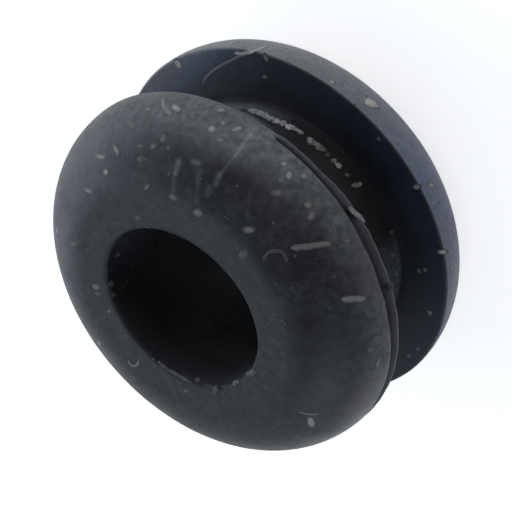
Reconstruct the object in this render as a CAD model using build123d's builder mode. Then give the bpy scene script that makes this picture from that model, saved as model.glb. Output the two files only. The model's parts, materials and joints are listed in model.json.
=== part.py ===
"""A rubber grommet: one moulded ring with a rounded flange on each side of a groove for a panel's edge."""
import os

from build123d import *

# Driving dimensions, in millimetres
bore_diameter = 6.1          # the hole that a cable or tube passes through
groove_diameter = 10.0       # the hub between the flanges, which fills the panel's hole
groove_width = 3.2           # the gap that takes the panel's edge
flange_diameter = 14.0
flange_thickness = 2.7
bore_edge_break = 0.12       # small round at each mouth of the bore
groove_edge_break = 0.08     # small round on a flange's thin edge beside the groove
groove_root_radius = 0.15    # fillet where the hub meets a flange

# A flange's outer edge is one quarter round, from its widest ring to its flat end face
flange_round_radius = flange_thickness - groove_edge_break

# Radii of the section, measured from the bore's axis
bore_radius = bore_diameter / 2
hub_radius = groove_diameter / 2
flange_radius = flange_diameter / 2
end_face_radius = flange_radius - flange_round_radius

# Heights of the section above the middle of the groove
groove_face_height = groove_width / 2
widest_ring_height = groove_face_height + groove_edge_break
end_face_height = groove_face_height + flange_thickness

# The two ends are alike: one flange stands above the groove's middle and one below it
above_and_below = (1, -1)

with BuildPart() as grommet:
    # Half of the ring's section, with X as the radius and Y as the height
    with BuildSketch(Plane.XZ) as section:
        with BuildLine():
            Line((bore_radius, -end_face_height), (bore_radius, end_face_height))
            Line((hub_radius, -groove_face_height), (hub_radius, groove_face_height))
            for side in above_and_below:
                root = (hub_radius, side * groove_face_height)
                thin_edge = (flange_radius - groove_edge_break, side * groove_face_height)
                widest_ring = (flange_radius, side * widest_ring_height)
                end_face_edge = (end_face_radius, side * end_face_height)
                mouth = (bore_radius, side * end_face_height)
                Line(root, thin_edge)
                TangentArc(thin_edge, widest_ring, tangent=(1, 0))
                TangentArc(widest_ring, end_face_edge, tangent=(0, side))
                Line(end_face_edge, mouth)
        make_face()

        # Rounds on the section's inner corners, which become rings when it is turned about the axis
        for side in above_and_below:
            root_corner = section.vertices().sort_by_distance((hub_radius, side * groove_face_height))[0]
            fillet(root_corner, groove_root_radius)
            mouth_corner = section.vertices().sort_by_distance((bore_radius, side * end_face_height))[0]
            fillet(mouth_corner, bore_edge_break)
    revolve(axis=Axis.Z)

grommet.part.label = "grommet"

os.makedirs("parts", exist_ok=True)
export_step(grommet.part, "parts/grommet.step")
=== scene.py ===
import json
import math

import bpy
from mathutils import Matrix, Vector
from mathutils.bvhtree import BVHTree
from mathutils.geometry import interpolate_bezier


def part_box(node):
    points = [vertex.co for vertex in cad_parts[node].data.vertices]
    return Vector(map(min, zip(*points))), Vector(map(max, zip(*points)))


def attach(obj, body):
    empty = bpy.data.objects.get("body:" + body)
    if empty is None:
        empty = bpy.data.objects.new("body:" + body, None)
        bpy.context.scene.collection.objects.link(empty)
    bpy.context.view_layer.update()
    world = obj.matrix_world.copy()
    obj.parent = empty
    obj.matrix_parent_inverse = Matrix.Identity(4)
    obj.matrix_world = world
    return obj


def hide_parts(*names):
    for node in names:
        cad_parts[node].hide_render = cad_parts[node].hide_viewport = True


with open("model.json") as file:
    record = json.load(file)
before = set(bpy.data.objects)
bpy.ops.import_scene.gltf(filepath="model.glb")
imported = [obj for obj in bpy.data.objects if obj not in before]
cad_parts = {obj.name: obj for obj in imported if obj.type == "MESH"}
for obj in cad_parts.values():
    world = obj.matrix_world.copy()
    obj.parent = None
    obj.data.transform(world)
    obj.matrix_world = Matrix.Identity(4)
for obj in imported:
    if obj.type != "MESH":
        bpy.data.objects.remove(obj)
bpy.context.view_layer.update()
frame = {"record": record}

bl_info = {
    "name": "Rubber Grommet",
    "version": (1, 0, 0),
    "blender": (4, 5, 0),
    "location": "View3D > Sidebar > Grommet",
    "description": "Builds a dusty moulded rubber grommet on a plain stage",
    "category": "Add Mesh",
}

MM = 0.001
BODY = "root"
NODE = "grommet"
RING = "moulded_ring"

# Sizes of the solid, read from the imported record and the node's own box
mounts = {mount["name"]: mount["dims"] for mount in frame["record"]["mounts"]}
BORE_RADIUS = mounts["cable_bore"]["r_mm"] * MM
BORE_WALL = mounts["cable_bore"]["length_mm"] * MM
HUB_RADIUS = mounts["panel_groove"]["r_mm"] * MM
GROOVE_FACE = mounts["panel_groove"]["length_mm"] * MM / 2
FLANGE_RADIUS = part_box(NODE)[1][0]
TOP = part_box(NODE)[1][2]

# The photograph's frame, which the pixel places below are given in
PHOTO_SIZE = 512
PIXEL = 1 * MM / 28.3        # what one pixel covers on the part
SENSOR = 36.0                # the camera's sensor width in millimetres

# Sizes of the ring that its tree takes as they are
RING_SIZES = (
    "spacing", "fine_spacing", "waviness", "mould_line_height", "mould_line_drop", "mould_line_width",
    "mould_line_narrow", "mould_line_depth", "lip_height", "lip_drop", "hub_roughness", "mouth_tear",
    "mouth_stretch")

# How the meshes are made
FEWEST_STEPS = 4.0           # mesh steps on a rounded corner of the section
FINE_REACH = 0.40 * MM       # how far from the upper rim and mouth the section is cut finest
FINE_END = 0.55 * MM         # where the cutting is even again
FINE_BELOW_LINE = 0.15 * MM  # how far below the mould line the rim's fine cutting is centred
WELD = 0.001 * MM            # points nearer than this are one
LIP_SHARE = -0.67            # makes the ragged strip of flash hang by its drop on average
LUMP_DETAIL = 3              # how often a lump's faces are divided
FORESHORTENING = 1.8         # the most that a lump is drawn out where the surface turns away
PATH_STEPS = 7               # points on each stretch of a fibre or strip
STRAND_SIDES = 12            # sides of a fibre or strip
END_THICKNESS = 0.5          # share of its thickness that a fibre or strip has at its ends
END_GROWTH = 0.2             # share that it gains at each point from there
DUST_SEED = 11               # where the fine dust falls
PALENESS_SEED = 5            # how pale each of its grains is
MARKED_FILM = "marked film"  # the node that the marks in the film are led into

# Fibres that lie on the rubber: pixels along each one, its thickness and how pale it is
FIBRES = (
    (((291, 248), (303, 247), (316, 245.5), (330, 243.5)), 0.24 * MM, 0.5),
    (((342, 299.5), (353, 299), (365, 298.5)), 0.26 * MM, 0.7),
    (((264, 260), (268, 253), (276, 251), (284, 254), (287, 262)), 0.14 * MM, 0.14),
    (((128.5, 360), (130, 364), (134, 366), (137, 365), (139, 361)), 0.13 * MM, 0.55),
    (((299, 412), (309, 414), (319, 414)), 0.12 * MM, 0.75),
    (((163, 97), (164, 107), (171, 115)), 0.18 * MM, 0.55),
)

# Dust grains: pixel across and down, length and width in pixels, turn in degrees from level, and
# how pale each is
GRAINS = (
    (176, 108, 10, 7, -40, 0.9), (212, 129, 8, 7, 0, 1.0), (237, 129, 12, 5, 15, 0.72),
    (223, 123, 6, 6, 0, 0.5), (221, 110, 9, 4, 0, 0.65), (220, 140, 8, 4, 0, 0.6),
    (163, 139, 5, 6, 0, 0.3), (153, 147, 6, 5, 30, 0.3), (140, 146, 6, 3, 0, 0.22),
    (168, 148, 4, 4, 0, 0.22), (116, 150, 10, 4, -60, 0.6), (101, 157, 9, 5, -15, 0.7),
    (106, 172, 5, 6, 0, 0.9), (89, 191, 8, 5, -10, 0.7), (148, 109, 6, 4, 0, 0.4),
    (132, 124, 8, 4, -60, 0.25), (141, 159, 6, 6, 0, 0.14), (147, 187, 7, 4, 50, 0.35),
    (173, 197, 9, 6, -20, 0.36), (198, 213, 9, 8, 0, 0.45), (249, 230, 10, 7, 0, 0.58),
    (138, 218, 5, 5, 0, 0.2), (57, 231, 5, 4, 60, 0.9), (74, 244, 6, 4, 0, 0.4),
    (284, 164, 7, 6, 0, 0.8), (289, 175, 9, 6, 70, 0.9), (304, 176, 7, 7, 0, 0.6),
    (281, 180, 6, 5, 0, 0.4), (277, 193, 10, 7, 0, 0.33), (308, 205, 8, 7, 0, 0.45),
    (311, 216, 9, 7, 70, 0.45), (244, 255, 8, 7, 40, 0.18), (96, 287, 8, 6, 0, 0.55),
    (98, 294, 7, 4, 0, 0.25), (109, 311, 4, 4, 0, 0.4), (99, 343, 5, 6, 0, 0.9),
    (186, 391, 5, 4, 0, 0.22), (252, 373, 10, 5, 20, 0.24), (311, 422, 7, 10, 0, 2.0),
    (378, 363, 5, 9, 20, 0.6), (370, 350, 5, 5, 0, 0.4), (347, 241, 6, 5, 0, 0.35),
    (297, 437, 5, 4, 0, 0.3), (241, 42, 6, 4, 0, 0.6), (321, 62, 5, 4, 30, 0.95),
    (332, 82, 6, 5, 0, 1.0), (265, 77, 5, 4, 0, 0.4), (266, 58, 9, 4, -70, 0.5),
    (379, 139, 5, 4, 0, 0.22), (417, 187, 7, 5, 20, 0.75), (431, 185, 6, 5, 0, 1.2),
    (443, 252, 9, 4, 0, 1.6), (452, 267, 5, 5, 0, 1.2), (430, 313, 5, 5, 0, 0.6),
    (419, 271, 4, 4, 0, 0.24), (425, 270, 4, 4, 0, 0.4), (409, 356, 5, 4, 40, 0.5),
    (418, 349, 4, 4, 0, 0.4), (178, 64, 10, 6, -60, 2.6),
)

# A grain of tan grit pressed into the lower flange's rim, given as a dust grain is
GRIT = ((371, 104, 14, 9, -8, 1.0),)

# Crumbs and nubs of torn rubber on the hub, the upper rim's edge and the bore's mouth, given as dust
# grains are
TORN_CRUMBS = (
    (252, 110.5, 6, 5, -20, 0.55), (256, 111.5, 6, 5, -20, 0.6), (261, 113, 7, 6, -20, 0.65),
    (266, 116, 7, 6, -25, 0.6), (270.5, 118.5, 6, 5, -25, 0.6), (277, 121, 7, 6, -20, 0.8),
    (283, 123.5, 6, 5, -20, 0.75), (289.5, 127, 7, 6, -30, 1.3), (295, 128.5, 6, 4, -30, 0.6),
    (300.5, 132, 6, 4, -35, 0.6), (310.5, 141, 7, 8, 0, 0.6), (314, 143, 6, 5, -40, 0.55),
    (319, 146, 8, 6, -30, 0.5), (323.5, 149.5, 6, 5, 0, 0.4), (328, 155, 5, 4, 0, 0.15),
    (334, 161, 6, 4, -40, 0.6), (338.5, 165.5, 7, 5, -45, 0.75), (347.5, 175, 5, 4, 0, 0.3),
    (357, 185, 10, 5, 15, 0.55), (391, 233, 9, 4, 35, 0.15), (383, 250, 6, 6, 0, 0.12),
    (393, 255, 5, 6, 0, 0.35), (388, 262, 6, 9, 0, 0.15), (396, 273, 5, 7, 0, 0.35),
    (396, 288, 5, 8, 0, 0.2), (391, 286, 5, 6, 0, 0.15), (198, 380, 6, 5, 0, 0.25),
    (216, 391, 9, 6, 70, 0.25), (236, 383, 7, 5, 20, 0.4), (252, 373, 9, 5, 20, 0.4),
    (118, 254, 5, 5, 0, 0.28), (112, 283, 5, 6, 0, 0.25), (114, 294, 4, 5, 0, 0.2),
    # The last crumb, a long pale flake on the rim's edge, also paints a highlight along the flash lip
    (357, 214.5, 19, 4.5, -42, 0.75),
)

# Torn strips on the hub and along the bore's mouth, given as fibres are
TORN_STRIPS = (
    (((250, 109.5), (258, 112), (266, 115.5), (277, 120.5), (289, 126.5), (297, 130), (304, 134)),
     0.16 * MM, 0.8),
    (((332, 159.5), (336, 163), (340, 166.5)), 0.14 * MM, 0.3),
    (((158, 361), (164, 366.5), (171, 371), (179, 375.5), (187, 380.5), (192, 383)), 0.12 * MM, 0.3),
)

# Thin threads of flash on the lower flange, given as fibres are
FLASH_THREADS = (
    (((235, 53.2), (242, 54), (250, 52.3), (258, 49.5), (268, 45.5)), 0.17 * MM, 1.0),
    (((246, 54.5), (239, 57), (230, 61.5), (218, 68), (207, 77), (203, 84)), 0.12 * MM, 0.2),
)

# Marks in the film of dust: end pixels, width in pixels and strength, which is below zero where a
# mark is dark; the dark marks are painted shadow under the hub's ridge of crumbs, beside the torn
# strip and crumbs at the bore's mouth, and in a notch of the mouth
MARKS = (
    ((251, 134), (236, 155), 6, 0.36), ((235, 156), (220, 175), 6, 0.24),
    ((219, 175), (215.5, 184), 10, 0.38), ((209.5, 187), (207.5, 195), 10, 0.26),
    ((178.5, 162), (175.5, 173), 10, 0.5), ((175, 174), (172.5, 191), 8, 0.15),
    ((193, 161.5), (198.5, 163), 9, 0.42), ((199, 172), (198, 182), 8, 0.2),
    ((197.5, 184), (196.5, 202), 8, 0.14), ((250, 193), (247, 217), 8, 0.10),
    ((196, 243), (222, 268), 10, 0.06), ((223, 269), (242, 298), 10, 0.06),
    ((252, 105), (290, 119), 10, 0.06), ((243, 110), (262, 119), 7, -0.3),
    ((262, 119), (280, 129), 7, -0.3), ((166, 371.5), (178, 378.5), 4, -0.12),
    ((178, 378.5), (188, 383), 4, -0.12), ((150, 357), (157, 363), 6, -0.12),
    ((223, 388), (231, 390), 5, -0.08),
)

# Soft lamps: name, angle about the part, height angle, radiance and colour
LAMPS = (
    ("right_low", 0, 10, 0.75, "#e9f2ff"),
    ("right_back_low", 30, 10, 3.0, "#dcebff"),
    ("back_right_low", 60, 10, 1.1, "#e9f2ff"),
    ("back_low", 90, 10, 0.65, "#e9f2ff"),
    ("front_low", 300, 10, 1.25, "#f0f5ff"),
    ("front_right_low", 330, 10, 2.4, "#edf4ff"),
    ("back_right_high", 60, 30, 1.6, "#dcebff"),
    ("back_high", 90, 30, 0.3, "#e9f2ff"),
    ("back_left_high", 120, 30, 0.65, "#e9f2ff"),
    ("left_back_high", 150, 30, 1.2, "#e9f2ff"),
    ("left_high", 180, 30, 0.8, "#d5e7ff"),
    ("front_top", 270, 55, 0.4, "#e9f2ff"),
)
LAMP_WIDTH = 0.16
LAMP_DISTANCE = 0.25

# The white surroundings
FLOOR_WIDTH = 1.2
SEEN_LIFT = 0.72             # light that the floor adds where the camera sees it
MIRRORED_LIFT = 0.6          # light that it adds in the rubber's gloss
ROOM_LEVEL = 0.06            # light of the room away from the lamps


def linear(hex_colour):
    """Turns an sRGB hex colour into linear red, green, blue and alpha."""
    channels = [int(hex_colour[place:place + 2], 16) / 255 for place in (1, 3, 5)]
    return (*[c / 12.92 if c <= 0.04045 else ((c + 0.055) / 1.055) ** 2.4 for c in channels], 1.0)


def add(tree, kind, inputs=None, **settings):
    """Adds one node with its settings, and sets or links its inputs by name or number."""
    made = tree.nodes.new(kind)
    for name, value in settings.items():
        setattr(made, name, value)
    for name, value in (inputs or {}).items():
        if isinstance(name, int):
            socket = made.inputs[name]
        else:
            socket = next(found for found in made.inputs if found.name == name and found.enabled)
        if isinstance(value, bpy.types.Node):
            value = next(found for found in value.outputs if found.enabled)
        if isinstance(value, bpy.types.NodeSocket):
            tree.links.new(value, socket)
        else:
            socket.default_value = value
    return made


def new_tree(name, inputs):
    """Starts a Geometry Nodes tree with named inputs, and gives it with their sockets."""
    tree = bpy.data.node_groups.new(name, "GeometryNodeTree")
    tree.interface.new_socket("Geometry", in_out="OUTPUT", socket_type="NodeSocketGeometry")
    for label, kind in inputs.items():
        tree.interface.new_socket(label, in_out="INPUT", socket_type=kind)
    return tree, add(tree, "NodeGroupInput").outputs


def finish_tree(tree, geometry, material):
    """Ends a tree in real, smooth geometry with its material."""
    real = add(tree, "GeometryNodeRealizeInstances", {"Geometry": geometry})
    smooth = add(tree, "GeometryNodeSetShadeSmooth", {"Geometry": real})
    finished = add(tree, "GeometryNodeSetMaterial", {"Geometry": smooth, "Material": material})
    add(tree, "NodeGroupOutput", {"Geometry": finished})


def nodes_made_real(piece, tree, values):
    """Runs a tree on a piece with its inputs set, and keeps what it makes as a plain mesh."""
    modifier = piece.modifiers.new(tree.name, "NODES")
    modifier.node_group = tree
    for item in tree.interface.items_tree:
        if item.in_out == "INPUT" and item.name in values:
            modifier[item.identifier] = values[item.name]
    bpy.context.view_layer.update()
    evaluated = piece.evaluated_get(bpy.context.evaluated_depsgraph_get())
    mesh = bpy.data.meshes.new_from_object(evaluated)
    piece.modifiers.clear()
    piece.data = mesh
    mesh.name = piece.name
    if not mesh.polygons:
        raise RuntimeError(piece.name + " came out empty")


def new_piece(name, points, edges=(), faces=(), **attributes):
    """Links a new object at the origin, unturned, from points with named attributes."""
    mesh = bpy.data.meshes.new(name)
    mesh.from_pydata(points, edges, faces)
    for label, values in attributes.items():
        vector = hasattr(values[0], "__len__")
        kept = mesh.attributes.new(label, "FLOAT_VECTOR" if vector else "FLOAT", "POINT")
        for place, value in enumerate(values):
            setattr(kept.data[place], "vector" if vector else "value", value)
    piece = bpy.data.objects.new(name, mesh)
    bpy.context.scene.collection.objects.link(piece)
    return piece


def length(name, description, default):
    """A length that the panel shows with its unit."""
    return bpy.props.FloatProperty(
        name=name, description=description, default=default,
        subtype="DISTANCE", unit="LENGTH", precision=6)


def angle(name, description, degrees):
    """An angle that the panel shows with its unit."""
    return bpy.props.FloatProperty(
        name=name, description=description, default=math.radians(degrees),
        subtype="ANGLE", unit="ROTATION")


def swatch(name, description, hex_colour):
    """A colour that the panel shows as a swatch."""
    return bpy.props.FloatVectorProperty(
        name=name, description=description, default=linear(hex_colour),
        subtype="COLOR", size=4, min=0.0, max=1.0)


class GrommetRing(bpy.types.PropertyGroup):
    """Sizes of the moulded ring that the solid's mounts and box don't give, and its moulding faults."""
    edge_break: length("Edge break", "Round on a flange's thin edge beside the groove", 0.08 * MM)
    root_radius: length("Root radius", "Fillet where the hub meets a flange", 0.15 * MM)
    spacing: length("Spacing", "Longest stretch of the section between mesh rings", 0.20 * MM)
    fine_spacing: length("Fine spacing", "The same at the upper rim and the bore's upper mouth", 0.035 * MM)
    segments: bpy.props.IntProperty(
        name="Segments", description="Mesh steps around the bore", default=420, min=24)
    waviness: length("Waviness", "How far the moulded faces wander from true", 0.03 * MM)
    mould_line_height: length(
        "Mould line height", "Height of the fine crevice around the upper rim", 1.82 * MM)
    mould_line_drop: length(
        "Mould line drop", "How far the crevice sinks past its dark middle", 0.05 * MM)
    mould_line_width: length("Mould line width", "Width of that crevice at its widest", 0.155 * MM)
    mould_line_narrow: length("Mould line narrow", "Width of that crevice at its start", 0.11 * MM)
    mould_line_depth: length("Mould line depth", "Depth of that crevice where it is widest", 0.36 * MM)
    mould_line_start: angle(
        "Mould line start", "Angle about the bore where the crevice breaks off", -71)
    mould_line_turn: angle(
        "Mould line turn", "How far the crevice runs from there, clockwise from above", 250)
    lip_height: length("Lip height", "How far the strip below the crevice stands proud", 0.05 * MM)
    lip_drop: length("Lip drop", "How far that strip hangs below the flange's face", 0.17 * MM)
    hub_roughness: length(
        "Hub roughness", "Depth of the torn texture at the bottom of the groove", 0.10 * MM)
    mouth_tear: length("Mouth tear", "How ragged the bore's upper mouth is on its torn side", 0.24 * MM)
    torn_side: angle("Torn side", "Angle about the bore of the mouth's torn side", 137)
    mouth_stretch: length(
        "Mouth stretch", "How far the bore's upper mouth is pulled open along one line", 0.15 * MM)
    stretch_side: angle("Stretch side", "Angle about the bore of the mouth's more stretched end", 20)
    # The dusty and scraped sides below also set where the film paints light
    hub_dusty_lit_side: angle("Hub's dusty side", "Angle about the bore where the hub is dustiest", -28)
    hub_scraped_lit_side: angle(
        "Hub's scraped side", "Angle about the bore where the hub is scraped light", -147)
    face_dusty_lit_side: angle(
        "Face's dusty side", "Angle about the bore where the groove's faces are dusty", -5)
    rim_dusty_lit_side: angle(
        "Rim's dusty side", "Angle about the bore where both rims are dustiest", -65)


class GrommetFinish(bpy.types.PropertyGroup):
    """Colours of the rubber and of what lies on it, and the sizes of the fine dust."""
    rubber: swatch("Rubber", "Bare rubber as the mould left it", "#17181b")
    # Near black that paints shade into the mould line's crevice and onto the hub
    shade_painted_rubber: swatch("Deep rubber", "Bare rubber in the crevice, and mostly on the hub", "#060607")
    film: swatch("Film", "Film of dust on the upper flange, the hub and the bore", "#888a8c")
    # The bluer films paint a tint of cool light into the dust's grey
    lower_film_cool_lit: swatch("Lower film", "Film of dust on the lower flange", "#8089a0")
    lower_film_dusty: swatch("Dusty lower film", "The same towards the hub's dusty side", "#908f8b")
    face_film_and_painted_light: swatch("Face film", "Film of dust on the groove's faces", "#62779e")
    face_film_dusty: swatch("Dusty face film", "The same on the faces' dusty side", "#7d828c")
    crumb_dark: swatch("Dark crumb", "Torn rubber where it is bare", "#18181a")
    crumb_pale: swatch("Pale crumb", "Torn rubber where it is dustiest", "#ccc9c4")
    thread_dark: swatch("Dark thread", "Edge of a thin thread of flash", "#585a5e")
    thread_pale: swatch("Pale thread", "Middle of a thin thread of flash", "#cbc9c5")
    grain_dark: swatch("Dark grain", "Edge of a dust grain", "#4b4a49")
    grain_pale: swatch("Pale grain", "Middle of a dust grain", "#c2beb6")
    grit_dark: swatch("Dark grit", "Edge of the grain of grit", "#8c8782")
    grit_pale: swatch("Pale grit", "Middle of the grain of grit", "#e4dad3")
    fine_dark: swatch("Dark fine dust", "Edge of a grain of fine dust", "#444341")
    fine_pale: swatch("Pale fine dust", "Middle of a grain of fine dust", "#aeaaa4")
    lint_dark: swatch("Dark lint", "Edge of a fibre", "#434342")
    lint_pale: swatch("Pale lint", "Middle of a fibre", "#bcb8b1")
    fine_density: bpy.props.FloatProperty(
        name="Fine dust density", description="Grains of fine dust on a square millimetre", default=2.2)
    fine_smallest: length("Smallest fine dust", "Width of the smallest grain of fine dust", 0.06 * MM)
    fine_largest: length("Largest fine dust", "Width of the largest grain of fine dust", 0.2 * MM)


class GrommetView(bpy.types.PropertyGroup):
    """Where the camera stands, as fitted to the photograph's outlines."""
    tilt: angle("Tilt", "Angle between the line of sight and the bore", 50.15)
    roll: angle("Roll", "Turn of the camera about its line of sight", -130.94)
    distance: length("Distance", "From the camera to the groove's middle", 94.98 * MM)
    aside: length("Aside", "How far the camera stands to its own right", 0.059 * MM)
    raised: length("Raised", "How far the camera stands towards its own top", -0.349 * MM)
    lens: bpy.props.FloatProperty(
        name="Lens", description="Focal length on a 36 mm sensor", default=189.26,
        subtype="DISTANCE_CAMERA")


def level_direction(around):
    """The level direction at an angle about the bore."""
    return math.cos(around), math.sin(around), 0.0


def camera_matrix(view):
    """The camera's place and turn, looking at the part from -Y and above."""
    turn = Matrix.Rotation(view.tilt, 4, "X") @ Matrix.Rotation(view.roll, 4, "Z")
    right, up, back = (turn.to_3x3().col[axis] for axis in range(3))
    place = back * view.distance + right * view.aside + up * view.raised
    return Matrix.Translation(place) @ turn


class Sightlines:
    """The photograph's lines of sight, and where they meet the ring."""

    def __init__(self, view):
        mesh = bpy.data.objects[RING].data
        self.ring = BVHTree.FromPolygons(
            [vertex.co for vertex in mesh.vertices], [face.vertices for face in mesh.polygons])
        self.eye = camera_matrix(view).translation
        self.turn = camera_matrix(view).to_3x3()
        self.focal = view.lens / SENSOR * PHOTO_SIZE

    def meet(self, across, down):
        """The ring's point and normal under a pixel."""
        sight = self.turn @ Vector((across - PHOTO_SIZE / 2, PHOTO_SIZE / 2 - down, -self.focal))
        point, normal = self.ring.ray_cast(self.eye, sight.normalized())[:2]
        if point is None:
            raise RuntimeError(f"no rubber under pixel {across}, {down}")
        return point, normal

    def on_surface(self, turn, point, normal):
        """A direction in the picture, in degrees from its level, as it lies on the surface at a point."""
        sight = (point - self.eye).normalized()
        level = self.turn @ Vector((math.cos(math.radians(turn)), math.sin(math.radians(turn)), 0.0))
        return level - sight * (level.dot(normal) / sight.dot(normal))


class BorePlace:
    """Where a point lies about the bore, worked out by nodes of one tree."""

    def __init__(self, tree, place):
        parts = add(tree, "ShaderNodeSeparateXYZ", {"Vector": place}).outputs
        self.tree = tree
        self.place = place
        self.height = parts["Z"]
        self.level = add(tree, "ShaderNodeCombineXYZ", {"X": parts["X"], "Y": parts["Y"]})
        self.radius = add(tree, "ShaderNodeVectorMath", {0: self.level}, operation="LENGTH")

    def outward(self):
        """The level direction away from the bore."""
        return add(self.tree, "ShaderNodeVectorMath", {0: self.level}, operation="NORMALIZE")

    def facing(self, direction):
        """How squarely a point faces a level direction, from -1 to 1."""
        return add(
            self.tree, "ShaderNodeVectorMath", {0: self.outward(), 1: direction},
            operation="DOT_PRODUCT")


def section_corners(ring):
    """Corners of half the ring's section, from the lower mouth outwards: radius, height and round."""
    flange_round = TOP - GROOVE_FACE - ring.edge_break
    upper = [
        (HUB_RADIUS, GROOVE_FACE, ring.root_radius),
        (FLANGE_RADIUS, GROOVE_FACE, ring.edge_break),
        (FLANGE_RADIUS, TOP, flange_round),
        (BORE_RADIUS, TOP, TOP - BORE_WALL / 2),
    ]
    lower = [(radius, -height, rounding) for radius, height, rounding in reversed(upper)]
    return lower + upper


def cut_up(tree, outline, spacing):
    """Cuts each stretch of a closed outline to no more than a spacing."""
    place = add(tree, "GeometryNodeInputPosition")
    index = add(tree, "GeometryNodeInputIndex")
    count = add(tree, "GeometryNodeAttributeDomainSize", {"Geometry": outline}, component="CURVE")
    after = add(tree, "ShaderNodeMath", {0: index, 1: 1.0}, operation="ADD")
    around = add(tree, "ShaderNodeMath", {0: after, 1: count}, operation="MODULO")
    following = add(
        tree, "GeometryNodeSampleIndex", {"Geometry": outline, "Value": place, "Index": around},
        data_type="FLOAT_VECTOR", domain="POINT")
    stretch = add(tree, "ShaderNodeVectorMath", {0: place, 1: following}, operation="DISTANCE")
    cuts = add(tree, "ShaderNodeMath", {0: stretch, 1: spacing}, operation="DIVIDE")
    return add(tree, "GeometryNodeSubdivideCurve", {"Curve": outline, "Cuts": cuts})


def turned_section(tree, given):
    """Rounds the corners of a flat section, cuts it up finely and turns it about the bore."""
    outline = add(tree, "GeometryNodeMeshToCurve", {"Mesh": given["Section"]})
    rounding, steps = (
        add(tree, "GeometryNodeInputNamedAttribute", {"Name": name}, data_type="FLOAT")
        for name in ("rounding", "steps"))
    rounded = add(
        tree, "GeometryNodeFilletCurve", {"Curve": outline, "Count": steps, "Radius": rounding},
        mode="POLY")
    evenly_cut = cut_up(tree, rounded, given["Spacing"])

    # The upper rim and mouth carry fine faults, so they are cut finer
    place = add(tree, "GeometryNodeInputPosition")
    to_rim = add(tree, "ShaderNodeVectorMath", {0: place, 1: given["Rim place"]}, operation="DISTANCE")
    to_mouth = add(
        tree, "ShaderNodeVectorMath", {0: place, 1: given["Mouth place"]}, operation="DISTANCE")
    nearest = add(tree, "ShaderNodeMath", {0: to_rim, 1: to_mouth}, operation="MINIMUM")
    spacing = add(tree, "ShaderNodeMapRange", {
        "Value": nearest, "From Min": FINE_REACH, "From Max": FINE_END,
        "To Min": given["Fine spacing"], "To Max": given["Spacing"]})
    cut = cut_up(tree, evenly_cut, spacing)
    path = add(
        tree, "GeometryNodeCurvePrimitiveCircle",
        {"Resolution": given["Segments"], "Radius": given["Path radius"]}, mode="RADIUS")
    turned = add(tree, "GeometryNodeCurveToMesh", {"Curve": path, "Profile Curve": cut})
    return add(tree, "GeometryNodeMergeByDistance", {"Geometry": turned, "Distance": WELD})


def uneven_offset(tree, place, coarseness, detail, amount):
    """An offset by noise of a given coarseness, by up to half an amount each way."""
    noise = add(tree, "ShaderNodeTexNoise", {
        "Vector": place, "Scale": 1 / coarseness, "Detail": detail})
    centred = add(
        tree, "ShaderNodeVectorMath", {0: noise.outputs["Color"], 1: (0.5, 0.5, 0.5)},
        operation="SUBTRACT")
    return add(tree, "ShaderNodeVectorMath", {0: centred, "Scale": amount}, operation="SCALE")


def mould_line(given, at):
    """The mould line on the upper rim: the angle past its ends, where it runs, and the height above it."""
    tree = at.tree
    apart = add(
        tree, "ShaderNodeMath", {0: at.facing(given["Mould line middle"])}, operation="ARCCOSINE")
    beyond = add(
        tree, "ShaderNodeMath", {0: apart, 1: given["Mould line reach"]}, operation="SUBTRACT")
    along = add(tree, "ShaderNodeMapRange", {
        "Value": beyond, "From Min": math.radians(-1.5), "From Max": 0.0, "To Min": 1.0, "To Max": 0.0})
    at_rim = add(tree, "ShaderNodeMapRange", {
        "Value": at.radius, "From Min": FLANGE_RADIUS - 0.5 * MM, "From Max": FLANGE_RADIUS - 0.3 * MM})
    on_line = add(tree, "ShaderNodeMath", {0: along, 1: at_rim}, operation="MULTIPLY")
    drop = add(tree, "ShaderNodeMapRange", {
        "Value": beyond, "From Min": math.radians(-60), "From Max": math.radians(-95),
        "To Min": 0.0, "To Max": given["Mould line drop"]})
    drift = add(tree, "ShaderNodeTexNoise", {
        "Vector": at.place, "Scale": 1 / (2.5 * MM), "Detail": 2.0})
    sunk = add(tree, "ShaderNodeMath", {0: at.height, 1: drop}, operation="ADD")
    drifted = add(
        tree, "ShaderNodeMath", {0: drift, 1: 0.06 * MM, 2: sunk}, operation="MULTIPLY_ADD")
    above = add(
        tree, "ShaderNodeMath", {0: drifted, 1: given["Mould line height"]}, operation="SUBTRACT")
    return beyond, on_line, above


def mould_crevice(given, at, beyond, above):
    """The mould line's crevice: how far into it a point lies, and how deep it is there."""
    tree = at.tree
    width = add(tree, "ShaderNodeMapRange", {
        "Value": beyond, "From Min": math.radians(-20), "From Max": math.radians(-38),
        "To Min": given["Mould line narrow"], "To Max": given["Mould line width"]})
    half_width = add(tree, "ShaderNodeMath", {0: width, 1: 0.5}, operation="MULTIPLY")
    bottom = add(tree, "ShaderNodeMath", {0: half_width, 1: -1.0}, operation="MULTIPLY")
    undercut = add(tree, "ShaderNodeMath", {0: half_width, 1: 0.05 * MM}, operation="SUBTRACT")
    overhang = add(tree, "ShaderNodeMath", {0: half_width, 1: 0.04 * MM}, operation="ADD")
    slope = add(tree, "ShaderNodeMapRange", {
        "Value": above, "From Min": bottom, "From Max": undercut})
    roof = add(
        tree, "ShaderNodeMapRange",
        {"Value": above, "From Min": undercut, "From Max": overhang, "To Min": 1.0, "To Max": 0.0},
        interpolation_type="SMOOTHSTEP")
    crevice = add(tree, "ShaderNodeMath", {0: slope, 1: roof}, operation="MINIMUM")
    widened = add(
        tree, "ShaderNodeMath", {0: width, 1: given["Mould line width"]}, operation="DIVIDE")
    full_depth = add(
        tree, "ShaderNodeMath", {0: widened, 1: given["Mould line depth"]}, operation="MULTIPLY")
    depth = add(tree, "ShaderNodeMath", {0: crevice, 1: full_depth}, operation="MULTIPLY")
    return crevice, depth


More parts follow.
